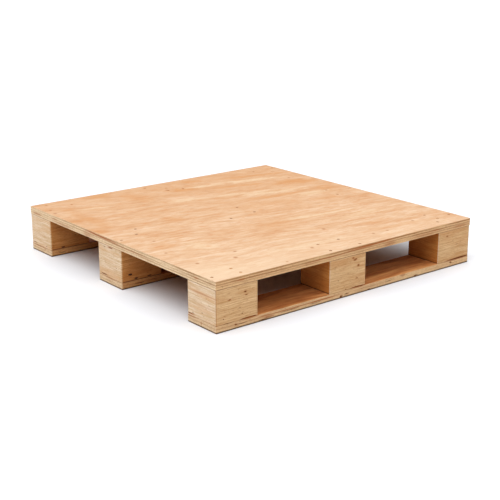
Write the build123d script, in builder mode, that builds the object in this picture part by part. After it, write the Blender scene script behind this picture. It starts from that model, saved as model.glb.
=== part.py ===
# Plywood block pallet: one plywood deck sheet on nine laminated blocks, which stand on
# three plywood skids. Millimetres, +Z up, skids along X, "front" is the -Y side.
# The origin is the middle of the footprint, on the floor.
from build123d import *
import os

# Deck: one square sheet of plywood
deck_length = 1000.0            # along X, the way the skids run
deck_width = 1000.0             # along Y
deck_thickness = 24.0

# Blocks: three rows of three, sawn from thick laminated veneer stock
block_length = 140.0            # along X
block_width = 125.0             # along Y
block_height = 99.0

# Skids: three strips of plywood, each under one row of blocks
skid_thickness = 21.0
skid_width = block_width

# The base is nailed up flush with the deck on the front and left sides, and stops a little
# short of it on the back and right sides. Its middle column and row are both off centre.
base_shortfall = 2.0
middle_column_shift = -26.0     # towards the left
middle_row_shift = 17.0         # towards the back

# Nails: flat-headed, driven a little below the face of the wood
shank_radius = 1.55
head_radius = 4.0
head_thickness = 1.4
head_sink = 0.6
point_length = 5.0
deck_nail_length = 70.0
skid_nail_length = 55.0

# Saw-cut edges, with only the splinters taken off
arris = 0.6                     # bevel round the deck and down the blocks
deck_corner_radius = 2.0        # the deck's four upright corners
skid_toe_radius = 3.0           # the worn bottom edge across each end of a skid

# Levels
block_bottom = skid_thickness
block_top = block_bottom + block_height
deck_bottom = block_top
deck_top = deck_bottom + deck_thickness

# Places of the blocks' centres
base_left = -deck_length / 2
base_right = deck_length / 2 - base_shortfall
base_front = -deck_width / 2
base_back = deck_width / 2 - base_shortfall
skid_length = base_right - base_left
base_centre_x = (base_left + base_right) / 2
base_centre_y = (base_front + base_back) / 2

columns = {
    "left": base_left + block_length / 2,
    "middle": base_centre_x + middle_column_shift,
    "right": base_right - block_length / 2,
}
rows = {
    "front": base_front + block_width / 2,
    "middle": base_centre_y + middle_row_shift,
    "back": base_back - block_width / 2,
}

# Deck nails, as places from each block's centre. They are driven by eye, so no two blocks
# have quite the same pattern.
deck_nail_places = {
    "front_left": [(-55, -26), (30, -39), (30, 2)],
    "front_middle": [(-54, -45), (-41, 22), (41, 24), (58, -48)],
    "front_right": [(-44, -30), (-13, -2), (51, 7), (-15, 50)],
    "middle_left": [(-53, -41), (16, -15), (44, 34)],
    "centre": [(-59, -50), (39, 44), (48, -34)],
    "middle_right": [(57, 9), (-40, -32), (-28, 38)],
    "back_left": [(-47, -27), (-26, 39), (44, -5)],
    "back_middle": [(12, -10), (-2, -44), (56, -49), (-46, 35)],
    "back_right": [(-41, 1), (55, 9), (12, -43)],
}

# Skid nails, as places from each block's centre, the same under every block
skid_nail_places = [(-46, -34), (4, 33), (48, -20)]


def block_places():
    """The name, X and Y of every block's centre, row by row."""
    for row, y in rows.items():
        for column, x in columns.items():
            name = "centre" if row == column == "middle" else f"{row}_{column}"
            yield name, x, y


def nail_planes(places, x, y, z, up):
    """A plane at each nail's entry on the wood's face, its normal pointing out of the wood."""
    return [Plane(origin=(x + dx, y + dy, z), z_dir=(0, 0, up)) for dx, dy in places]


def nail_profile(length):
    """Half of a nail's outline in the XZ plane, the wood's face at Z = 0, the shank going down."""
    head_top = -head_sink
    head_under = head_top - head_thickness
    point_start = head_top - length + point_length
    Polyline(
        (0, head_top),
        (head_radius, head_top),
        (head_radius, head_under),
        (shank_radius, head_under),
        (shank_radius, point_start),
        (0, head_top - length),
        close=True,
    )


def make_nail(length):
    """One nail about the Z axis, as it sits under a wood face at Z = 0."""
    with BuildPart() as nail:
        with BuildSketch(Plane.XZ):
            with BuildLine():
                nail_profile(length)
            make_face()
        revolve(axis=Axis.Z)
    return nail.part


def make_nail_group(nail, planes):
    """The same nail at every plane, as one group of separate solids."""
    with BuildPart() as group:
        with Locations(*planes):
            add(nail)
    return group.part


def save(part, name):
    part.label = name
    export_step(part, f"parts/{name}.step")


os.makedirs("parts", exist_ok=True)

# Nails, one group to each block from above and one from below
deck_nail = make_nail(deck_nail_length)
skid_nail = make_nail(skid_nail_length)
deck_nails = {}
skid_nails = {}
deck_nail_holes = []
skid_nail_holes = {row: [] for row in rows}
for name, x, y in block_places():
    deck_planes = nail_planes(deck_nail_places[name], x, y, deck_top, 1)
    skid_planes = nail_planes(skid_nail_places, x, y, 0, -1)
    deck_nails[name] = make_nail_group(deck_nail, deck_planes)
    skid_nails[name] = make_nail_group(skid_nail, skid_planes)
    save(deck_nails[name], f"deck_nails_{name}")
    save(skid_nails[name], f"skid_nails_{name}")
    deck_nail_holes += deck_planes
    row = next(r for r in rows if rows[r] == y)
    skid_nail_holes[row] += skid_planes

# Deck sheet, with a hole for every nail and a shallow pit over its head
with BuildPart() as deck:
    with BuildSketch(Plane.XY.offset(deck_bottom)):
        RectangleRounded(deck_length, deck_width, deck_corner_radius)
    extrude(amount=deck_thickness)
    chamfer(deck.faces().sort_by(Axis.Z)[-1].edges(), arris)
    chamfer(deck.faces().sort_by(Axis.Z)[0].edges(), arris)
    with Locations(*deck_nail_holes):
        CounterBoreHole(shank_radius, head_radius, head_sink + head_thickness)
save(deck.part, "deck")

# Blocks, each closed round the shanks that hold it
for name, x, y in block_places():
    with BuildPart() as block:
        with BuildSketch(Plane.XY.offset(block_bottom)):
            with Locations((x, y)):
                Rectangle(block_length, block_width)
        extrude(amount=block_height)
        chamfer(block.edges().filter_by(Axis.Z), arris)
        add(deck_nails[name], mode=Mode.SUBTRACT)
        add(skid_nails[name], mode=Mode.SUBTRACT)
    save(block.part, f"block_{name}")

# Skids, with their nails driven in from below
for row, y in rows.items():
    with BuildPart() as skid:
        with BuildSketch():
            with Locations((base_centre_x, y)):
                Rectangle(skid_length, skid_width)
        extrude(amount=skid_thickness)
        chamfer(skid.edges().filter_by(Axis.Z), arris)
        bottom_edges = skid.faces().sort_by(Axis.Z)[0].edges()
        fillet(bottom_edges.filter_by(Axis.Y), skid_toe_radius)
        with Locations(*skid_nail_holes[row]):
            CounterBoreHole(shank_radius, head_radius, head_sink + head_thickness)
    save(skid.part, f"skid_{row}")
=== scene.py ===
import math

import bpy
import numpy as np
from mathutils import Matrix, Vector


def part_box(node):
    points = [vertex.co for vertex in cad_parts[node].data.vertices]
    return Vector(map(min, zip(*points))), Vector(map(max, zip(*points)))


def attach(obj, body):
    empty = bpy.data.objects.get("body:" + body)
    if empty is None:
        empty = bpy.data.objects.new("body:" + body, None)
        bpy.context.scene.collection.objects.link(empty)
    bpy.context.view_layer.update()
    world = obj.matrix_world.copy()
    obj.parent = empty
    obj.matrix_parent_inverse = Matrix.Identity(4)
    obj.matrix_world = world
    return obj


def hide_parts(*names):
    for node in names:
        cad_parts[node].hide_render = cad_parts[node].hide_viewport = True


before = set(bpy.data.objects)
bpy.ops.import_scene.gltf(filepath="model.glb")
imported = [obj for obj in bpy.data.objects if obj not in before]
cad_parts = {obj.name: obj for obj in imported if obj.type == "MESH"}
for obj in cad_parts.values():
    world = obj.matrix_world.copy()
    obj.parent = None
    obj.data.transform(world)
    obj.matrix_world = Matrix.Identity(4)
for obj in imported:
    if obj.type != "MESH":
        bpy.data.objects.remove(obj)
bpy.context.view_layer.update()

# ---------------------------------------------------------------------------------------
# Skids
# Three strips ripped from seven-ply softwood sheet, one under each row of blocks. Each is
# nailed to its blocks from below before the deck goes on, so its nail heads are underneath.
# ---------------------------------------------------------------------------------------

MM = 0.001
HALF_SIDE = 500 * MM                                    # from the middle of the pallet to its outer faces
SKID_VENEERS = (2.6, 3.0, 2.9, 2.6, 2.7, 3.3, 3.9)      # mm, from the bottom up
SKID_PITCH = 8 * MM                                     # between the lines of its mesh
SKID_ARRIS = 0.7 * MM                                   # width of its upright edges
SKID_FOOT = (3 * MM, 1.7 * MM)                          # radii of its worn bottom edges, ends and sides
GLUE_GROOVE = 0.22 * MM                                 # depth of the groove at a glue line
VOID_DEPTH = 1.6 * MM
SAW_ROUGHNESS = 0.05 * MM
FACE_ROUGHNESS = 0.05 * MM
SKID_VOIDS = {                                          # mm from the left end and bottom, half sizes
    "front": [(66, 12.5, 5, 1.2), (88, 11, 16, 0.9), (250, 9.5, 34, 0.8), (352, 9, 24, 0.7),
              (448, 6, 7, 1.6), (470, 10, 9, 1.0), (558, 4, 6, 1.5), (758, 6, 10, 1.3),
              (640, 12, 12, 0.8), (917, 15, 5, 1.3), (160, 5, 16, 1.2)],
    "middle": [(60, 10, 18, 0.9), (190, 12, 25, 0.8)],
    "back": [(40, 9, 14, 0.9), (240, 11, 30, 0.8)],
}
SKID_STAINS = [                                         # mm along and up, reach along and up, share
    (178, 8, 20, 3.2, 0.7), (166, 14, 24, 2.6, 0.7), (112, 20.2, 28, 1.8, 0.8), (516, 20.2, 30, 1.8, 0.7),
    (950, 20.4, 46, 1.8, 0.8), (447, 5, 4, 6, 0.9), (702, 19, 12, 7, 0.6), (757, 3, 5, 4, 0.9),
    (916, 18, 4, 6, 0.6), (250, 13, 90, 2, 0.8), (370, 13, 70, 2.4, 0.9), (65, 12, 3, 5, 0.6)]


def lattice_lines(low, high, pitch, arris):
    """Places of the mesh's lines along one side: one an arris in from each end, the rest evenly spread."""
    count = max(2, round((high - low - 2 * arris) / pitch))
    return np.concatenate(([low], np.linspace(low + arris, high - arris, count + 1), [high]))


def veneer_levels(bottom, veneers):
    """Heights of the mesh's lines up a veneered edge, and how far in the edge lies at each.

    Every glue line is a fine groove, and every second veneer, which shows end grain, was cut a hair
    deeper. Two more lines near the bottom give the worn foot its round.
    """
    lip, saw_cut, end_grain_cut = 0.35 * MM, 0.03 * MM, 0.08 * MM
    levels, depths = [], []
    height = bottom
    for number, thickness in enumerate(veneers):
        face_depth = saw_cut + (number % 2) * end_grain_cut
        levels += [height, height + lip, height + thickness * MM - lip]
        depths += [GLUE_GROOVE, face_depth, face_depth]
        height += thickness * MM
    levels.append(height)
    depths.append(GLUE_GROOVE)
    depths[0] = depths[-1] = 0.0
    foot_levels = [bottom + 0.9 * MM, bottom + 1.6 * MM]
    order = np.argsort(levels + foot_levels)
    levels = np.array(levels + foot_levels)[order]
    depths = np.array(depths + [depths[1]] * len(foot_levels))[order]
    return levels, depths


def smooth_wander(rng, shape, reach):
    """Random numbers of about unit size that change slowly along the first axis."""
    rough = rng.normal(size=shape)
    total = sum(np.roll(rough, step, 0) for step in range(reach))
    return total / math.sqrt(reach)


def veneered_shell(rng, xs, ys, levels, depths, arris, foot):
    """A closed box of glued veneers: its points, side faces, top and bottom faces, and upright corners.

    Every push is inwards, so the box keeps its size. foot holds the radii of the bottom edges, at the two
    ends and along the two sides. The upright corners are a flag on each point.
    """
    wear_share, wear_change = 0.30, 0.35
    lines = (xs, ys, levels)
    outer = np.ones([len(line) for line in lines], bool)
    outer[1:-1, 1:-1, 1:-1] = False
    number = np.full(outer.shape, -1)
    number[outer] = np.arange(outer.sum())
    index = np.nonzero(outer)
    points = np.column_stack([line[i] for line, i in zip(lines, index)])
    inward = np.zeros_like(points)
    at_end = [(i == 0) | (i == len(line) - 1) for line, i in zip(lines, index)]
    sign = [np.where(i == 0, 1.0, -1.0) for i in index]
    for axis, along in ((0, 1), (1, 0)):
        saw = smooth_wander(rng, (len(lines[along]), len(levels)), reach=4)
        depth = depths[index[2]] + SAW_ROUGHNESS * np.abs(saw[index[along], index[2]])
        inward[:, axis] += np.where(at_end[axis], depth, 0)
    faces_wave = smooth_wander(rng, (len(xs), len(ys)), reach=3)
    inward[:, 2] += np.where(at_end[2], FACE_ROUGHNESS * np.abs(faces_wave[index[0], index[1]]), 0)
    for axis, radius in enumerate(foot):
        rise = np.minimum(levels[index[2]] - levels[0], radius)
        inward[:, axis] += np.where(at_end[axis], radius - np.sqrt(radius ** 2 - (radius - rise) ** 2), 0)
    upright = at_end[0] & at_end[1]
    on_edge = sum(flag.astype(int) for flag in at_end) >= 2
    wear = wear_share * arris * (1 + wear_change * np.abs(smooth_wander(rng, (len(points),), reach=5)))
    for axis in range(3):
        inward[:, axis] += np.where(on_edge & at_end[axis], wear, 0)
        points[:, axis] += sign[axis] * inward[:, axis]
    sides, caps = [], []
    for axis in range(3):
        for end in (0, -1):
            sheet = np.take(number, end, axis=axis)
            corners = (sheet[:-1, :-1], sheet[1:, :-1], sheet[1:, 1:], sheet[:-1, 1:])
            quads = np.stack(corners, -1).reshape(-1, 4)
            if (end == 0) != (axis == 1):
                quads = quads[:, ::-1]
            (caps if axis == 2 else sides).append(quads)
    return points, np.concatenate(sides), np.concatenate(caps), upright


def make_piece(name, points, face_sets, materials):
    """A mesh object whose face sets take the materials in order."""
    mesh = bpy.data.meshes.new(name)
    faces = [tuple(face) for group in face_sets for face in group]
    mesh.from_pydata([tuple(point) for point in points], [], faces)
    slots = np.concatenate([np.full(len(group), number) for number, group in enumerate(face_sets)])
    mesh.polygons.foreach_set("material_index", slots.astype(np.int32))
    for material in materials:
        mesh.materials.append(material)
    piece = bpy.data.objects.new(name, mesh)
    bpy.context.scene.collection.objects.link(piece)
    return piece


def turned(profile, sides):
    """Points and faces of a solid turned about Z: profile is (radius, height) from one end to the other.

    A radius of 0 at either end is a single point.
    """
    points, faces, rings = [], [], []
    for radius, height in profile:
        if radius == 0:
            rings.append([len(points)])
            points.append((0, 0, height))
            continue
        rings.append(list(range(len(points), len(points) + sides)))
        for step in range(sides):
            angle = 2 * math.pi * step / sides
            points.append((radius * math.cos(angle), radius * math.sin(angle), height))
    for lower, upper in zip(rings, rings[1:]):
        for step in range(sides):
            after = (step + 1) % sides
            face = [lower[step % len(lower)], lower[after % len(lower)],
                    upper[after % len(upper)], upper[step % len(upper)]]
            faces.append(tuple(dict.fromkeys(face)))
    return np.array(points, float), faces


def nail_centres(node):
    """X and Y of every nail in a CAD group."""
    nail_spacing = 20 * MM
    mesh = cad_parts[node].data
    points = np.empty(len(mesh.vertices) * 3)
    mesh.vertices.foreach_get("co", points)
    clusters = []
    for point in points.reshape(-1, 3)[:, :2]:
        near = [cluster for cluster in clusters if np.hypot(*(cluster[0] - point)) < nail_spacing]
        if near:
            near[0].append(point)
        else:
            clusters.append([point])
    return [(np.min(cluster, 0) + np.max(cluster, 0)) / 2 for cluster in clusters]


HEAD_RADIUS = 4.0 * MM
HEAD_THICKNESS = 1.4 * MM
HEAD_SINK = 0.6 * MM                                    # from the wood's face in to the head
SHANK_RADIUS = 1.55 * MM
ROWS = {"front": ("front_left", "front_middle", "front_right"),
        "middle": ("middle_left", "centre", "middle_right"),
        "back": ("back_left", "back_middle", "back_right")}
PLACES = [place for row in ROWS.values() for place in row]


def nail_hole(x, y, face, up, depth, rng):
    """The hole that one nail makes, its mouth on the wood's face and a little torn. up is 1 or -1."""
    above, flare, tear, sides = 2 * MM, 0.4 * MM, 0.04, 24
    mouth = HEAD_RADIUS + 0.35 * MM
    seat = HEAD_RADIUS + 0.10 * MM
    seat_level = -(HEAD_SINK + HEAD_THICKNESS + 0.05 * MM)
    shank = SHANK_RADIUS + 0.06 * MM
    profile = [(0, above), (mouth + flare, above), (mouth, 0), (seat, -HEAD_SINK), (seat, seat_level),
               (shank, seat_level), (shank, -depth), (0, -depth)]
    points, faces = turned(profile, sides)
    tearing = 1 + tear * rng.normal(size=len(points))
    shallow = points[:, 2] > -HEAD_SINK / 2
    points[shallow, :2] *= tearing[shallow, None]
    if up < 0:
        points *= (1, -1, -1)
    points += (x, y, face)
    return points, [corners[::-1] for corners in faces]


def core_void(centre, half_sizes, rng):
    """A lens-shaped gap in a veneer, where a knot fell out or two strips of core did not meet."""
    rings, sides, raggedness = 7, 14, 0.16
    angles = [math.pi * step / rings for step in range(1, rings)]
    profile = [(0, -1)] + [(math.sin(angle), -math.cos(angle)) for angle in angles] + [(0, 1)]
    points, faces = turned(profile, sides)
    ragged = 1 + raggedness * rng.normal(size=(len(points), 1))
    return points * ragged * half_sizes + centre, faces


def cut_away(piece, cutters):
    """Takes the cutters' solids out of the piece. The cut faces get the piece's third material."""
    points, faces, start = [], [], 0
    for cutter_points, cutter_faces in cutters:
        points.append(cutter_points)
        faces += [tuple(corner + start for corner in face) for face in cutter_faces]
        start += len(cutter_points)
    tool = make_piece("cutters", np.concatenate(points), [[], [], faces], piece.data.materials)
    cut = piece.modifiers.new("cut", "BOOLEAN")
    cut.operation, cut.solver, cut.object = "DIFFERENCE", "EXACT", tool
    graph = bpy.context.evaluated_depsgraph_get()
    done = bpy.data.meshes.new_from_object(piece.evaluated_get(graph), depsgraph=graph)
    piece.modifiers.clear()
    piece.data = done
    bpy.data.objects.remove(tool)


def finish_mesh(piece):
    """Smooth shading, kept crisp across real corners."""
    crisp = math.radians(38)
    piece.data.shade_smooth()
    piece.data.set_sharp_from_angle(angle=crisp)


def srgb(red, green, blue):
    """A colour given as 0 to 255 screen values."""
    def linear(value):
        value /= 255
        return value / 12.92 if value <= 0.04045 else ((value + 0.055) / 1.055) ** 2.4
    return (linear(red), linear(green), linear(blue), 1.0)


def add(tree, kind, settings=None, **inputs):
    """A shader node with its settings and inputs. An input named _0 is the first socket, and so on."""
    made = tree.nodes.new(kind)
    for key, value in (settings or {}).items():
        setattr(made, key, value)
    for key, value in inputs.items():
        socket = made.inputs[int(key[1:])] if key[0] == "_" else made.inputs[key.replace("_", " ")]
        if isinstance(value, bpy.types.NodeSocket):
            tree.links.new(value, socket)
        else:
            socket.default_value = value
    return made


def maths(tree, operation, *values, clamp=False):
    """The result of one scalar operation."""
    inputs = {f"_{number}": value for number, value in enumerate(values)}
    return add(tree, "ShaderNodeMath", {"operation": operation, "use_clamp": clamp}, **inputs).outputs[0]


def vector_maths(tree, operation, *values):
    """The result of one vector operation: a number for a length or a distance, otherwise a vector."""
    inputs = {f"_{number}": value for number, value in enumerate(values)}
    made = add(tree, "ShaderNodeVectorMath", {"operation": operation}, **inputs)
    return made.outputs[1 if operation in ("LENGTH", "DISTANCE") else 0]


def joined(tree, x=0.0, y=0.0, z=0.0):
    """A vector made of three numbers."""
    return add(tree, "ShaderNodeCombineXYZ", _0=x, _1=y, _2=z).outputs[0]


def mixed(tree, share, first, second, blend="MIX"):
    """Two colours mixed, with the given share of the second."""
    settings = {"data_type": "RGBA", "blend_type": blend}
    return add(tree, "ShaderNodeMix", settings, _0=share, _6=first, _7=second).outputs[2]


def fading_in(tree, value, none_at, full_at, most, curve="LINEAR"):
    """0 where value is none_at, growing to most where it is full_at."""
    return add(tree, "ShaderNodeMapRange", {"interpolation_type": curve}, _0=value,
               _1=none_at, _2=full_at, _3=0.0, _4=most).outputs[0]


def stepped(tree, factor, stops):
    """A colour ramp with the given (place, colour) stops. A plain number is a grey."""
    ramp = add(tree, "ShaderNodeValToRGB", _0=factor)
    elements = ramp.color_ramp.elements
    for number, (place, colour) in enumerate(stops):
        element = elements[number] if number < 2 else elements.new(place)
        element.position = place
        element.color = (colour, colour, colour, 1) if isinstance(colour, (int, float)) else colour
    return ramp.outputs[0]


def stretched_noise(tree, place, scale, detail=3.0, roughness=0.55, distortion=0.0):
    """Noise whose grain is stretched: scale is how many cells there are to the metre along X, Y and Z."""
    spread = vector_maths(tree, "MULTIPLY", place, scale)
    made = add(tree, "ShaderNodeTexNoise", Vector=spread, Scale=1.0, Detail=detail,
               Roughness=roughness, Distortion=distortion)
    return made.outputs[0]


def swing(tree, noise, width):
    """A noise turned into a push to either side, width in all."""
    return maths(tree, "MULTIPLY", maths(tree, "SUBTRACT", noise, 0.5), width)


def wood_material(name):
    """A new material with its shader, and the point in the object's own frame as X, Y and Z."""
    material = bpy.data.materials.new(name)
    material.use_nodes = True
    tree = material.node_tree
    shader = tree.nodes["Principled BSDF"]
    shader.inputs["Specular IOR Level"].default_value = 0.25
    place = add(tree, "ShaderNodeTexCoord").outputs["Object"]
    split = add(tree, "ShaderNodeSeparateXYZ", _0=place)
    return material, tree, shader, place, split.outputs


def finish_wood(tree, shader, colour, height, roughness, depth):
    """Ends a wood material: its colour, its roughness range and the depth of its grain."""
    low, high = roughness
    tree.links.new(colour, shader.inputs["Base Color"])
    rough = add(tree, "ShaderNodeMapRange", _0=height, _3=high, _4=low).outputs[0]
    tree.links.new(rough, shader.inputs["Roughness"])
    bump = add(tree, "ShaderNodeBump", Height=height, Distance=depth, Strength=0.6)
    tree.links.new(bump.outputs[0], shader.inputs["Normal"])


def face_veneer(name, tones, patchiness, seed):
    """Rotary-cut softwood veneer, its grain along X: flames, streaks, fine fibres and broad patches.

    tones are the pale, the middle and the deep colour, and the colour of the dark fibres. Another seed
    is another stretch of the log.
    """
    pale, middle, deep, dark = tones
    material, tree, shader, place, _ = wood_material(name)
    moved = vector_maths(tree, "ADD", place, (seed, seed * 0.7, 0))
    drift = stretched_noise(tree, moved, (1.6, 2.6, 1), detail=2)
    ripple = stretched_noise(tree, moved, (9, 22, 1), detail=2)
    bend = maths(tree, "ADD", swing(tree, drift, 0.16), maths(tree, "MULTIPLY", ripple, 0.012))
    grain = vector_maths(tree, "ADD", moved, joined(tree, y=bend))
    flames = stretched_noise(tree, grain, (4.5, 34, 1), detail=4, roughness=0.6, distortion=0.4)
    streaks = stretched_noise(tree, grain, (7, 90, 1), detail=3)
    fibres = stretched_noise(tree, grain, (34, 520, 1), detail=3)
    patches = stretched_noise(tree, grain, (9, 13, 1), detail=3, distortion=0.6)
    tone = stepped(tree, flames, [(0.34, pale), (0.50, middle), (0.66, deep)])
    tone = mixed(tree, stepped(tree, patches, [(0.50, 0.0), (0.72, patchiness)]), tone, deep)
    tone = mixed(tree, stepped(tree, streaks, [(0.30, 0.55), (0.46, 0.0)]), tone, pale)
    tone = mixed(tree, stepped(tree, streaks, [(0.58, 0.0), (0.78, 0.45)]), tone, deep)
    tone = mixed(tree, stepped(tree, fibres, [(0.52, 0.0), (0.78, 0.30)]), tone, dark)
    finish_wood(tree, shader, tone, fibres, (0.52, 0.70), 0.25 * MM)
    return material


def facing_x(tree):
    """1 on the faces that look mostly along X and 0 on the others."""
    mostly = 0.7
    normal = add(tree, "ShaderNodeNewGeometry").outputs["True Normal"]
    along_x = add(tree, "ShaderNodeSeparateXYZ", _0=normal).outputs[0]
    return maths(tree, "GREATER_THAN", maths(tree, "ABSOLUTE", along_x), mostly)


def by_face(tree, end_share, on_sides, on_ends):
    """One number on the front and back faces and another on the ends."""
    sides = maths(tree, "MULTIPLY", on_sides, maths(tree, "SUBTRACT", 1.0, end_share))
    return maths(tree, "ADD", sides, maths(tree, "MULTIPLY", on_ends, end_share))


OUTER_FACE = 496.5 * MM                                 # from the middle: faces past it are the outer faces, and the faces further in get painted shade


def shaded_inner_faces(tree, x, y):
    """0 on the outer faces of the pallet and 1 on the faces further in, which get painted shade."""
    outer_x = maths(tree, "GREATER_THAN", maths(tree, "ABSOLUTE", x), OUTER_FACE)
    outer_y = maths(tree, "GREATER_THAN", maths(tree, "ABSOLUTE", y), OUTER_FACE)
    return maths(tree, "SUBTRACT", 1.0, maths(tree, "MAXIMUM", outer_x, outer_y))


def soft_spots(tree, point, spots, ragged):
    """A mask of soft, ragged spots. spots holds each one's middle and reach, in metres, and its share."""
    gone_at, whole_at = 1.4, 0.4
    mask = 0.0
    for middle, reach, share in spots:
        apart = vector_maths(tree, "DIVIDE", vector_maths(tree, "SUBTRACT", point, middle), reach)
        distance = maths(tree, "ADD", vector_maths(tree, "LENGTH", apart), ragged)
        spot = fading_in(tree, distance, gone_at, whole_at, share, "SMOOTHSTEP")
        mask = maths(tree, "MAXIMUM", mask, spot)
    return mask


def stained_edge(tree, along, up, stains, bottom, ragged):
    """A mask of the brown stains on a sawn edge. bottom is the height that theirs are counted from."""
    spots = [((a * MM - HALF_SIDE, bottom + height * MM, 0), (reach * MM, rise * MM, 1), share)
             for a, height, reach, rise, share in stains]
    return soft_spots(tree, joined(tree, along, up), spots, ragged)


def sheet_edge(name, bottom, veneers, contrast, long_tones, end_tones, stains, fading=0.0, contact_shadow_share=0.0):
    """The sawn edge of a plywood sheet: light long-grain veneers, darker cross veneers, fine glue lines.

    contrast holds one number per veneer, from 0 for a veneer as light as the lightest to 1 for a dark one.
    long_tones are the light, the dark and the pore colour on the front and back edges, and end_tones those
    on the ends. stains is a table like SKID_STAINS. fading is how much the dark veneers pale towards the
    back of the sheet, and contact_shadow_share is how dark its bottom edge is painted, a painted contact
    shadow.
    """
    glue_share = 0.9
    glue_half = 0.6 / sum(veneers)
    material, tree, shader, place, (x, y, z) = wood_material(name)
    end_share = facing_x(tree)
    light, cross, pore = (mixed(tree, end_share, *pair) for pair in zip(long_tones, end_tones))
    wobble = stretched_noise(tree, place, (14, 14, 30), detail=3)
    height = maths(tree, "DIVIDE", maths(tree, "SUBTRACT", z, bottom), sum(veneers) * MM)
    height = maths(tree, "ADD", height, swing(tree, wobble, 0.10))
    stops, level = [], 0.0
    for thickness, share in zip(veneers, contrast):
        top = level + thickness / sum(veneers)
        stops += [(level + glue_half, share), (top - glue_half, share), (min(top, 1.0), glue_share)]
        level = top
    patchy = stretched_noise(tree, place, (6, 6, 110), detail=3)
    patchy = stepped(tree, patchy, [(0.36, 0.15), (0.56, 1.0)])
    paled = fading_in(tree, y, -0.25, 0.45, fading)
    cross_share = maths(tree, "MULTIPLY", stepped(tree, height, stops), patchy)
    cross_share = maths(tree, "MULTIPLY", cross_share, maths(tree, "SUBTRACT", 1.0, paled))
    grain = stretched_noise(tree, place, (24, 24, 560), detail=3)
    flecks = stretched_noise(tree, place, (120, 120, 620), detail=2)
    tone = mixed(tree, cross_share, light, cross)
    tone = mixed(tree, stepped(tree, grain, [(0.50, 0.0), (0.70, 0.45)]), tone, cross)
    tone = mixed(tree, stepped(tree, flecks, [(0.56, 0.0), (0.68, 0.60)]), tone, pore)
    inside = shaded_inner_faces(tree, x, y)
    along = by_face(tree, end_share, x, y)
    stained = stained_edge(tree, along, z, stains, bottom, swing(tree, grain, 1.2))
    stained = maths(tree, "SUBTRACT", stained, inside, clamp=True)
    tone = mixed(tree, stained, tone, srgb(158, 88, 38))
    # painted shade: the faces further in, under the deck, are darker and browner
    painted_shade = mixed(tree, 1.0, tone, (0.86, 0.66, 0.46, 1), blend="MULTIPLY")
    tone = mixed(tree, inside, tone, painted_shade)
    # painted contact shadow: darker along the bottom edge, where it meets the floor
    painted_contact_shadow = fading_in(tree, z, bottom + 5.0 * MM, bottom + 2.4 * MM, contact_shadow_share)
    tone = mixed(tree, painted_contact_shadow, tone, srgb(66, 46, 28))
    finish_wood(tree, shader, tone, flecks, (0.60, 0.80), 0.3 * MM)
    return material


deck_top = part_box("deck")[1][2]
skid_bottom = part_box("skid_front")[0][2]
FILLED_NAILS = [                                        # mm from the left and front edges, reach, share
    (500, 940, 1200, 100, 0.85), (960, 500, 100, 500, 0.80),
    (100, 23.5, 14, 14, 0.75), (100, 64.5, 14, 14, 0.85)]


def filled_heads(tree, place):
    """A mask of the nails that wood dust has filled over: the back row, the right side, two by the corner."""
    reach_z, ragged = 500 * MM, 0.0
    spots = []
    for from_left, from_front, reach_x, reach_y, share in FILLED_NAILS:
        middle = (from_left * MM - HALF_SIDE, from_front * MM - HALF_SIDE, deck_top)
        spots.append((middle, (reach_x * MM, reach_y * MM, reach_z), share))
    return soft_spots(tree, place, spots, ragged)


def torn_wood(name, colour):
    """The dark inside of core gaps and nail holes, with painted shade making those in the gaps between the
    blocks darkest.
    """
    deck_holes_from = 100 * MM
    material, tree, shader, place, (x, y, z) = wood_material(name)
    rough = stretched_noise(tree, place, (300, 300, 900), detail=3)
    dark = tuple(0.40 * value for value in colour[:3]) + (1.0,)
    tone = mixed(tree, rough, dark, colour)
    lower = maths(tree, "LESS_THAN", z, deck_holes_from)
    filled = maths(tree, "SUBTRACT", filled_heads(tree, place), lower, clamp=True)
    tone = mixed(tree, filled, tone, srgb(186, 128, 78))
    # painted shade: the holes and gaps on the faces further in, below the deck, are darkest
    shaded = maths(tree, "MULTIPLY", shaded_inner_faces(tree, x, y), lower)
    tone = mixed(tree, maths(tree, "MULTIPLY", shaded, 0.85), tone, srgb(52, 32, 18))
    finish_wood(tree, shader, tone, rough, (0.75, 0.9), 0.4 * MM)
    return material


def plywood_piece(node, veneers, pitch, arris, foot, materials, cutters, seed):
    """Builds one veneered piece in its CAD node's place, cut and holed, and lets it stand for the node.

    materials are the finish of its sawn sides, of its top and bottom, and of what is cut, in that order.
    """
    rng = np.random.default_rng(seed)
    low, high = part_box(node)
    xs = lattice_lines(low[0], high[0], pitch, arris)
    ys = lattice_lines(low[1], high[1], pitch, arris)
    levels, depths = veneer_levels(low[2], veneers)
    points, sides, caps, upright = veneered_shell(rng, xs, ys, levels, depths, arris, foot)
    piece = make_piece(f"{node}_wood", points, [sides, caps, []], materials)
    handled = piece.data.attributes.new("handled_corner", "FLOAT", "POINT")
    handled.data.foreach_set("value", upright.astype(np.float32))
    cut_away(piece, cutters(rng, low))
    finish_mesh(piece)
    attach(piece, "root")
    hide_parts(node)
    return piece


skid_tones = (srgb(220, 158, 98), srgb(190, 124, 70), srgb(152, 86, 42), srgb(104, 56, 28))
skid_face = face_veneer("skid_face_veneer", skid_tones, patchiness=0.6, seed=3.0)
skid_edge = sheet_edge(
    "skid_sawn_edge", skid_bottom, SKID_VENEERS, contrast=(0.25, 0.15, 0.0, 0.15, 0.45, 0.1, 0.2),
    long_tones=(srgb(225, 189, 142), srgb(156, 100, 56), srgb(142, 86, 46)),
    end_tones=(srgb(226, 198, 160), srgb(166, 120, 78), srgb(140, 96, 60)),
    stains=SKID_STAINS, contact_shadow_share=0.95)
torn = torn_wood("torn_wood", srgb(136, 74, 34))


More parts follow.
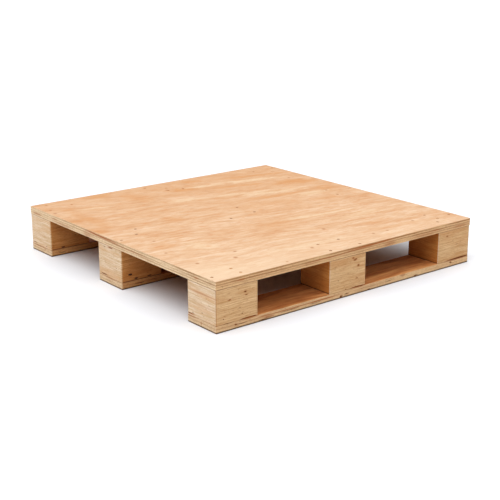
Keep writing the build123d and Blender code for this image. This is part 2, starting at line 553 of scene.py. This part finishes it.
def skid_cutters(row):
    """What is cut from one skid: its nail holes from below, and the gaps along its front edge."""
    def cutters(rng, low):
        right_through, inset = 60 * MM, 0.2 * MM
        made = []
        for place in ROWS[row]:
            for x, y in nail_centres(f"skid_nails_{place}"):
                made.append(nail_hole(x, y, skid_bottom, -1, right_through, rng))
        for along, up, half_length, half_height in SKID_VOIDS[row]:
            centre = (low[0] + along * MM, low[1] + inset, low[2] + up * MM)
            made.append(core_void(centre, (half_length * MM, VOID_DEPTH, half_height * MM), rng))
        return made
    return cutters


for number, row in enumerate(ROWS):
    skid = plywood_piece(f"skid_{row}", SKID_VENEERS, SKID_PITCH, SKID_ARRIS, SKID_FOOT,
                         (skid_edge, skid_face, torn), skid_cutters(row), seed=11 + number)

# ---------------------------------------------------------------------------------------
# Blocks
# Nine blocks sawn from thick laminated stock, forty veneers glued flat. The grain runs both
# ways in turn, so the ends show speckled end grain and the sides show fine lines.
# ---------------------------------------------------------------------------------------

BLOCK_VENEERS = (2.475,) * 40                           # mm
BLOCK_PITCH = 6 * MM
BLOCK_ARRIS = 1.5 * MM
BLOCK_FOOT = (0.9 * MM, 0.9 * MM)
DECK_NAIL_LENGTH = 70 * MM
SKID_NAIL_LENGTH = 55 * MM
FRONT_VOIDS = {                                         # mm from the block's left end and the floor
    "front_left": [(97, 97.5, 3.2, 1.5), (101, 88, 3.6, 0.9), (45, 85.4, 4.5, 1.0), (87, 38.5, 2.6, 1.3),
                   (24, 36, 1.8, 1.6), (78, 56, 4, 0.6), (112, 22.5, 28, 1.5), (40, 22, 18, 0.5)],
    "front_middle": [(89, 112, 3.0, 1.2), (96, 105, 3.4, 1.8), (101, 108, 2.6, 1.2), (110, 87, 2.6, 1.8),
                     (107, 49, 2.6, 1.2), (32, 55, 2.4, 1.0), (62, 24, 2.6, 1.2), (112, 22.6, 28, 1.5),
                     (20, 96, 3, 0.6), (70, 68, 3.4, 0.6)],
    "front_right": [(37, 103, 3.4, 1.2), (92, 23.6, 46, 1.5), (84, 70, 5, 0.6)],
    "middle_left": [(30, 42, 7.0, 3.0), (50, 27, 7.0, 2.2), (96, 26.5, 7, 1.6), (84, 64, 4, 0.8)],
    "back_left": [(43, 26, 6.5, 2.2), (90, 58, 4, 0.8)],
}
LEFT_VOIDS = {                                          # mm from the block's front corner and the floor
    "front_left": [(114, 26.8, 10, 1.1), (102, 31, 6, 0.7), (60, 42, 3.5, 0.8), (30, 70, 4, 0.5)],
    "middle_left": [(97, 26.4, 16, 1.3), (56, 115.5, 9, 1.0), (90, 113, 5, 0.8), (28, 60, 1.6, 0.9)],
    "back_left": [(106, 27, 12, 0.9), (30, 28, 4, 0.8)],
}
BLOCK_STAINS = [                                        # mm from the left edge and floor, reach, share
    (112, 22.8, 28, 2.3, 0.9), (40, 21.5, 18, 1.2, 0.5), (516, 22.8, 30, 2.3, 0.9), (950, 23.8, 46, 2.3, 0.9),
    (98, 97.5, 6, 3.5, 0.6), (101, 88, 6, 2.5, 0.5), (45, 85, 7, 2.5, 0.6), (492, 112, 6, 3, 0.7),
    (500, 106, 9, 4, 0.7), (513, 87, 6, 4.5, 0.7), (507, 49, 5, 3, 0.5), (895, 103, 6, 3, 0.6)]
END_STAINS = [                                          # mm from the front edge and floor, the same
    (112, 26.8, 18, 1.8, 0.9), (62, 95, 60, 2.6, 0.45), (40, 62, 50, 2.0, 0.3), (551, 26.4, 20, 1.8, 0.8),
    (512, 115.5, 14, 2.4, 0.8), (979, 27, 14, 1.4, 0.7), (930, 60, 40, 2.0, 0.25)]


def block_side(name, bottom, top):
    """The sawn sides of the laminated blocks: tan long grain front and back, paler ends with wavy lines."""
    floor_level = 0.0
    material, tree, shader, place, (x, y, z) = wood_material(name)
    end_share = facing_x(tree)
    inside = shaded_inner_faces(tree, x, y)

    # wavy veneers, each with its own tone
    wave = stretched_noise(tree, place, (26, 26, 14), detail=3)
    height = maths(tree, "ADD", maths(tree, "SUBTRACT", z, bottom), swing(tree, wave, 5 * MM))
    swayed = joined(tree, x, y, height)
    veneer = maths(tree, "FLOOR", maths(tree, "DIVIDE", height, BLOCK_VENEERS[0] * MM))
    own = add(tree, "ShaderNodeTexWhiteNoise", {"noise_dimensions": "1D"}, W=veneer).outputs[0]
    lines = stretched_noise(tree, swayed, (14, 14, 320), detail=3, roughness=0.62)
    bands = stretched_noise(tree, swayed, (5, 5, 46), detail=4, roughness=0.6)
    flecks = stretched_noise(tree, swayed, (84, 84, 430), detail=3, roughness=0.6)
    speckle = stretched_noise(tree, place, (300, 300, 500), detail=2)

    pale = mixed(tree, end_share, srgb(222, 187, 142), srgb(230, 209, 182))
    deep = mixed(tree, end_share, srgb(190, 145, 95), srgb(202, 168, 128))
    warm = mixed(tree, end_share, srgb(188, 134, 80), srgb(208, 158, 108))
    brown = mixed(tree, end_share, srgb(142, 90, 46), srgb(168, 116, 68))
    share = maths(tree, "ADD", maths(tree, "MULTIPLY", own, 0.36),
                  stepped(tree, lines, [(0.38, 0.0), (0.62, 0.80)]), clamp=True)
    tone = mixed(tree, share, pale, deep)
    tone = mixed(tree, stepped(tree, bands, [(0.46, 0.0), (0.66, 0.55)]), tone, warm)
    tone = mixed(tree, stepped(tree, flecks, [(0.575, 0.0), (0.67, 0.56)]), tone, brown)
    tone = mixed(tree, stepped(tree, speckle, [(0.60, 0.0), (0.70, 0.24)]), tone, brown)

    # brown stains round the core gaps, on the outer faces only
    ragged = swing(tree, flecks, 1.6)
    stained = by_face(tree, end_share, stained_edge(tree, x, z, BLOCK_STAINS, floor_level, ragged),
                      stained_edge(tree, y, z, END_STAINS, floor_level, ragged))
    stained = maths(tree, "SUBTRACT", stained, inside, clamp=True)
    tone = mixed(tree, stained, tone, srgb(164, 90, 40))

    # the pallet's own upright corners, browned by handling
    handled = add(tree, "ShaderNodeAttribute", {"attribute_name": "handled_corner"}).outputs["Fac"]
    outer_corner = maths(tree, "MINIMUM", maths(tree, "ABSOLUTE", x), maths(tree, "ABSOLUTE", y))
    outer_corner = maths(tree, "GREATER_THAN", outer_corner, OUTER_FACE - 2 * BLOCK_ARRIS)
    worn = maths(tree, "MULTIPLY", maths(tree, "MULTIPLY", handled, 1.8, clamp=True), outer_corner)
    tone = mixed(tree, worn, tone, srgb(146, 90, 36))

    # painted shade in the joint under the deck, and a broken dark line, partly painted shade, where the block
    # sits on its skid
    under_deck = fading_in(tree, z, top - 1.8 * MM, top - 0.5 * MM, 0.75)
    tone = mixed(tree, under_deck, tone, srgb(104, 62, 30))
    broken = stepped(tree, bands, [(0.44, 0.15), (0.54, 0.7)])
    on_skid = fading_in(tree, z, bottom + 1.8 * MM, bottom + 0.5 * MM, 1.0)
    tone = mixed(tree, maths(tree, "MULTIPLY", on_skid, broken), tone, srgb(110, 60, 28))

    # painted shade on the faces further in, under the deck: darker and browner, and darkest along their
    # bottom
    shade_tint = mixed(tree, end_share, (0.90, 0.63, 0.37, 1), (0.76, 0.40, 0.13, 1))
    painted_shade = mixed(tree, 1.0, tone, shade_tint, blend="MULTIPLY")
    # painted contact shade along the bottom of the faces further in
    bottom_shade = fading_in(tree, z, bottom + 4 * MM, bottom + 1.5 * MM, 0.7)
    painted_shade = mixed(tree, bottom_shade, painted_shade, srgb(72, 44, 22))
    tone = mixed(tree, inside, tone, painted_shade)
    finish_wood(tree, shader, tone, speckle, (0.60, 0.82), 0.3 * MM)
    return material


def block_cutters(place):
    """What is cut from one block: the holes of its nails from above and below, and its core gaps."""
    def cutters(rng, low):
        past_point, inset = 1 * MM, 0.1 * MM
        made = []
        for x, y in nail_centres(f"deck_nails_{place}"):
            made.append(nail_hole(x, y, deck_top, 1, DECK_NAIL_LENGTH + past_point, rng))
        for x, y in nail_centres(f"skid_nails_{place}"):
            made.append(nail_hole(x, y, skid_bottom, -1, SKID_NAIL_LENGTH + past_point, rng))
        for along, up, half_length, half_height in FRONT_VOIDS.get(place, ()):
            centre = (low[0] + along * MM, low[1] + inset, up * MM)
            made.append(core_void(centre, (half_length * MM, VOID_DEPTH, half_height * MM), rng))
        for along, up, half_length, half_height in LEFT_VOIDS.get(place, ()):
            centre = (low[0] + inset, low[1] + along * MM, up * MM)
            made.append(core_void(centre, (VOID_DEPTH, half_length * MM, half_height * MM), rng))
        return made
    return cutters


block_low, block_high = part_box("block_centre")
block_sawn = block_side("block_sawn_side", block_low[2], block_high[2])
block_face = face_veneer("block_face_veneer", skid_tones, patchiness=0.5, seed=8.0)
for number, place in enumerate(PLACES):
    block = plywood_piece(f"block_{place}", BLOCK_VENEERS, BLOCK_PITCH, BLOCK_ARRIS, BLOCK_FOOT,
                          (block_sawn, block_face, torn), block_cutters(place), seed=21 + number)

# ---------------------------------------------------------------------------------------
# Deck
# One square sheet of seven-ply softwood plywood, its face veneer sanded and its grain along
# the skids. It is laid on the blocks last and nailed down into each of them.
# ---------------------------------------------------------------------------------------

DECK_VENEERS = (4.6, 3.4, 3.3, 3.6, 3.8, 3.6, 1.7)      # mm, from the bottom up
DECK_PITCH = 8 * MM
DECK_ARRIS = 0.8 * MM
DECK_FOOT = (0.8 * MM, 0.8 * MM)
DECK_STAINS = [                                         # mm along and up, reach along and up, share
    (560, 18.5, 90, 2.4, 1.0), (510, 15, 60, 1.6, 0.8), (620, 21, 30, 2, 0.8), (400, 12, 70, 1.6, 0.6),
    (790, 6, 60, 4, 0.45), (85, 13, 12, 3, 0.6), (330, 8, 40, 3, 0.3), (840, 13, 20, 3, 0.5),
    (640, 7, 24, 9, 0.4), (955, 7, 30, 4, 0.5)]
WARM_PATCHES = [                                        # mm from the left and front edges, reach, share
    (235, 972, 60, 22, 0.6), (330, 880, 46, 60, 0.5), (512, 872, 50, 26, 0.7), (72, 875, 24, 12, 0.7),
    (66, 730, 24, 100, 0.5), (18, 740, 34, 14, 0.6), (610, 955, 36, 22, 0.6), (830, 890, 150, 17, 0.6),
    (700, 795, 110, 14, 0.6), (900, 725, 80, 44, 0.8), (265, 570, 34, 32, 0.4), (18, 590, 26, 26, 0.6),
    (700, 605, 110, 17, 0.6), (930, 585, 50, 36, 0.45), (80, 345, 40, 26, 0.5), (480, 320, 90, 50, 0.28),
    (755, 155, 60, 18, 0.45), (735, 85, 120, 14, 0.4), (830, 480, 60, 30, 0.35), (640, 520, 120, 50, 0.25)]
PALE_PATCHES = [
    (600, 868, 70, 13, 0.7), (790, 838, 130, 17, 0.7), (655, 330, 130, 13, 0.6), (170, 285, 50, 34, 0.5),
    (455, 740, 70, 16, 0.6), (735, 650, 110, 18, 0.6), (850, 555, 66, 26, 0.5), (130, 850, 56, 9, 0.6),
    (60, 60, 110, 46, 0.5), (770, 255, 90, 30, 0.4), (640, 700, 160, 12, 0.5), (420, 100, 120, 20, 0.4)]
PIN_KNOTS = [                                           # mm from the left and front edges, radius in mm
    (57, 157, 4.5), (171, 135, 5), (205, 181, 4), (256, 16, 3), (398, 72, 4.5), (556, 195, 4.5), (638, 66, 4),
    (694, 63, 3.5), (835, 91, 4), (45, 289, 3.5), (85, 408, 4), (15, 863, 5), (925, 780, 4), (471, 900, 5),
    (525, 879, 4)]


def deck_veneer(name):
    """The deck's face: sanded rotary-cut veneer, its grain along X and running a little towards the front."""
    slope, fan = 0.16, 0.20                             # of the grain, and how much it steepens to the back
    pale, middle = srgb(215, 187, 158), srgb(204, 168, 133)
    deep, dark = srgb(192, 143, 101), srgb(156, 102, 62)
    material, tree, shader, place, (x, y, _) = wood_material(name)

    # the grain's figure: across_grain is the same all along one fibre
    own_slope = maths(tree, "ADD", slope, maths(tree, "MULTIPLY", fan, y))
    across_grain = maths(tree, "ADD", y, maths(tree, "MULTIPLY", x, own_slope))
    drift = stretched_noise(tree, place, (2.2, 3.4, 1), detail=2)
    ripple = stretched_noise(tree, place, (11, 24, 1), detail=4, roughness=0.65)
    bend = maths(tree, "ADD", swing(tree, drift, 0.10), swing(tree, ripple, 0.020))
    grain = joined(tree, x, maths(tree, "ADD", across_grain, bend))
    flames = stretched_noise(tree, grain, (3.6, 22, 1), detail=6, roughness=0.68, distortion=0.7)
    streaks = stretched_noise(tree, grain, (9, 70, 1), detail=5, roughness=0.65)
    fine = stretched_noise(tree, grain, (22, 200, 1), detail=3)
    resin = stretched_noise(tree, grain, (26, 150, 1), detail=3, roughness=0.6)
    mottle = stretched_noise(tree, place, (15, 30, 1), detail=5, roughness=0.68, distortion=1.0)
    tone = stepped(tree, flames, [(0.38, pale), (0.50, middle), (0.64, deep)])
    tone = mixed(tree, stepped(tree, mottle, [(0.46, 0.0), (0.66, 0.50)]), tone, deep)
    tone = mixed(tree, stepped(tree, streaks, [(0.36, 0.70), (0.48, 0.0)]), tone, pale)
    tone = mixed(tree, stepped(tree, streaks, [(0.52, 0.0), (0.66, 0.65)]), tone, deep)

    ragged = maths(tree, "ADD", swing(tree, mottle, 2.4), swing(tree, streaks, 2.2))
    along_grain = joined(tree, x, across_grain)

    def patches(places):
        """A mask of soft, ragged patches that follow the grain."""
        spots = []
        for from_left, from_front, reach_x, reach_y, share in places:
            spot_x, spot_y = from_left * MM - HALF_SIDE, from_front * MM - HALF_SIDE
            spot_across = spot_y + spot_x * (slope + fan * spot_y)
            spots.append(((spot_x, spot_across, 0), (reach_x * MM, reach_y * MM, 1), share))
        return soft_spots(tree, along_grain, spots, ragged)

    # deeper towards the back, patches, fine fibres, short resin streaks, and cream near the front left corner
    to_back = maths(tree, "ADD", maths(tree, "MULTIPLY", x, 0.25), y)
    tone = mixed(tree, fading_in(tree, to_back, -0.45, 0.55, 0.62), tone, srgb(192, 146, 104))
    tone = mixed(tree, patches(WARM_PATCHES), tone, srgb(190, 132, 76))
    tone = mixed(tree, patches(PALE_PATCHES), tone, srgb(214, 188, 154))
    tone = mixed(tree, stepped(tree, fine, [(0.52, 0.0), (0.72, 0.40)]), tone, dark)
    tone = mixed(tree, stepped(tree, fine, [(0.30, 0.36), (0.46, 0.0)]), tone, pale)
    tone = mixed(tree, stepped(tree, resin, [(0.56, 0.0), (0.68, 0.62)]), tone, srgb(190, 122, 66))
    to_corner = maths(tree, "ADD", maths(tree, "MULTIPLY", x, 0.30), y)
    cream = fading_in(tree, to_corner, -0.22, -0.72, 0.70, "SMOOTHSTEP")
    tone = mixed(tree, cream, tone, srgb(213, 186, 156))

    knots = 0.0
    flat = joined(tree, x, y)
    for from_left, from_front, radius in PIN_KNOTS:
        knot = (from_left * MM - HALF_SIDE, from_front * MM - HALF_SIDE, 0)
        apart = vector_maths(tree, "DISTANCE", flat, knot)
        share = fading_in(tree, apart, 1.9 * radius * MM, 0.4 * radius * MM, 1.0, "SMOOTHSTEP")
        knots = maths(tree, "MAXIMUM", knots, share)
    tone = mixed(tree, maths(tree, "MULTIPLY", knots, 0.75), tone, srgb(156, 96, 48))
    finish_wood(tree, shader, tone, fine, (0.50, 0.68), 0.2 * MM)
    return material


deck_face = deck_veneer("deck_face_veneer")
under_tones = (srgb(196, 138, 84), srgb(176, 114, 62), srgb(150, 88, 44), srgb(112, 62, 30))
deck_underface = face_veneer("deck_back_veneer", under_tones, patchiness=0.6, seed=5.0)
deck_edge = sheet_edge(
    "deck_sawn_edge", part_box("deck")[0][2], DECK_VENEERS, contrast=(0.0, 0.45, 0.0, 0.8, 0.0, 0.8, 0.0),
    long_tones=(srgb(216, 176, 128), srgb(150, 98, 54), srgb(134, 82, 44)),
    end_tones=(srgb(228, 200, 162), srgb(152, 106, 60), srgb(134, 88, 48)),
    stains=DECK_STAINS, fading=0.55)


def deck_cutters(rng, low):
    """What is cut from the deck: a hole for every nail."""
    right_through = 40 * MM
    centres = [centre for place in PLACES for centre in nail_centres(f"deck_nails_{place}")]
    return [nail_hole(x, y, deck_top, 1, right_through, rng) for x, y in centres]


deck = plywood_piece("deck", DECK_VENEERS, DECK_PITCH, DECK_ARRIS, DECK_FOOT,
                     (deck_edge, deck_underface, torn, deck_face), deck_cutters, seed=5)
TOP_AND_BOTTOM, TOP_ONLY = 1, 3
for face in deck.data.polygons:
    if face.material_index == TOP_AND_BOTTOM and face.normal.z > 0:
        face.material_index = TOP_ONLY

# ---------------------------------------------------------------------------------------
# Nails
# Flat-headed ring-shank nails of bright steel, gone dull. Gun-driven a little below the
# face: from the deck down into each block, and from each skid up into it.
# ---------------------------------------------------------------------------------------

NAIL_SIDES = 20


def nail_profile(length):
    """A nail's outline as (radius, height), from the top of its head to its point, the wood's face at 0."""
    bevel, dome = 0.25 * MM, 0.06 * MM
    ring_pitch, ring_depth = 1.6 * MM, 0.18 * MM
    plain_length, point_length, blunt_length = 12 * MM, 5 * MM, 1.5 * MM
    top = -HEAD_SINK
    under = top - HEAD_THICKNESS
    tip = top - length
    outline = [(0, top), (HEAD_RADIUS * 0.55, top - dome / 3), (HEAD_RADIUS - bevel, top - dome),
               (HEAD_RADIUS, top - bevel), (HEAD_RADIUS, under + bevel), (HEAD_RADIUS - bevel, under),
               (SHANK_RADIUS, under)]
    level = under - plain_length
    outline.append((SHANK_RADIUS, level))
    while level - ring_pitch > tip + point_length:
        outline.append((SHANK_RADIUS, level - 0.5 * ring_pitch))
        outline.append((SHANK_RADIUS - ring_depth, level - 0.75 * ring_pitch))
        level -= ring_pitch
    outline += [(SHANK_RADIUS, tip + point_length), (SHANK_RADIUS * 0.45, tip + blunt_length), (0, tip)]
    return outline


def nail_steel(name):
    """Dull drawn steel, browned where it meets the wood and dusted over in places."""
    material, tree, shader, place, _ = wood_material(name)
    stain = stretched_noise(tree, place, (900, 900, 900), detail=3)
    scuff = stretched_noise(tree, place, (2600, 700, 900), detail=2)
    dust = stretched_noise(tree, place, (26, 26, 26), detail=1)
    brown, dull, grey = srgb(118, 74, 46), srgb(146, 102, 70), srgb(166, 132, 104)
    tone = stepped(tree, stain, [(0.34, brown), (0.52, dull), (0.70, grey)])
    tone = mixed(tree, stepped(tree, dust, [(0.42, 0.0), (0.60, 0.75)]), tone, srgb(190, 138, 92))
    tone = mixed(tree, filled_heads(tree, place), tone, srgb(196, 140, 88))
    shader.inputs["Metallic"].default_value = 0.4
    finish_wood(tree, shader, tone, scuff, (0.42, 0.66), 0.05 * MM)
    return material


steel = nail_steel("nail_steel")


def make_nails(node, face, up, length):
    """All the nails of one group, standing for their CAD node. up is 1 or -1, the side their heads are on."""
    profile_points, profile_faces = turned(nail_profile(length), NAIL_SIDES)
    points, faces = [], []
    for number, (x, y) in enumerate(nail_centres(node)):
        start = number * len(profile_points)
        points.append(profile_points * (1, up, up) + (x, y, face))
        faces += [tuple(corner + start for corner in corners[::-1]) for corners in profile_faces]
    nails = make_piece(f"{node}_steel", np.concatenate(points), [faces], [steel])
    finish_mesh(nails)
    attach(nails, "root")
    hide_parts(node)


for place in PLACES:
    make_nails(f"deck_nails_{place}", deck_top, 1, DECK_NAIL_LENGTH)
    make_nails(f"skid_nails_{place}", skid_bottom, -1, SKID_NAIL_LENGTH)

# ---------------------------------------------------------------------------------------
# Studio
# A plain pale floor, a very wide soft light overhead and a weaker one from the upper left.
# The camera stands off the front left corner, looking down along the deck's diagonal.
# ---------------------------------------------------------------------------------------

FLOOR_HALF = 40.0
floor_points = [(-FLOOR_HALF, -FLOOR_HALF, 0), (FLOOR_HALF, -FLOOR_HALF, 0),
                (FLOOR_HALF, FLOOR_HALF, 0), (-FLOOR_HALF, FLOOR_HALF, 0)]
floor_paint, floor_tree, floor_shader, floor_place, _ = wood_material("pale_floor")
floor_grain = stretched_noise(floor_tree, floor_place, (6, 6, 6), detail=2)
floor_tone = mixed(floor_tree, floor_grain, srgb(221, 223, 227), srgb(224, 226, 230))
finish_wood(floor_tree, floor_shader, floor_tone, floor_grain, (0.8, 0.9), 0.1 * MM)
floor = make_piece("floor", floor_points, [[(0, 1, 2, 3)]], [floor_paint])

world = bpy.data.worlds.new("studio")
world.use_nodes = True
backdrop = world.node_tree.nodes["Background"]
backdrop.inputs["Color"].default_value = (0.97, 0.98, 1.0, 1)
backdrop.inputs["Strength"].default_value = 0.08
bpy.context.scene.world = world


def studio_light(name, towards, spread, strength, colour):
    """A very wide, distant soft box. towards points from the pallet to it, and spread is in degrees."""
    lamp = bpy.data.lights.new(name, "SUN")
    lamp.angle, lamp.energy, lamp.color = math.radians(spread), strength, colour
    holder = bpy.data.objects.new(name, lamp)
    holder.rotation_euler = Vector(towards).to_track_quat("Z", "Y").to_euler()
    bpy.context.scene.collection.objects.link(holder)


studio_light("ceiling_light", towards=(0, 0, 1), spread=120, strength=3.5, colour=(1.0, 1.0, 1.0))
studio_light("key_light", towards=(-0.45, -0.20, 0.87), spread=50, strength=1.4, colour=(1.0, 0.99, 0.98))

camera_data = bpy.data.cameras.new("camera")
camera_data.lens = 76.36
camera_data.sensor_width = 36
camera = bpy.data.objects.new("camera", camera_data)
camera.location = (-2.0518, -2.5584, 1.0116)
camera.rotation_euler = (math.radians(73.119), 0, math.radians(-38.967))
bpy.context.scene.collection.objects.link(camera)
bpy.context.scene.camera = camera
bpy.context.scene.view_settings.view_transform = "Standard"
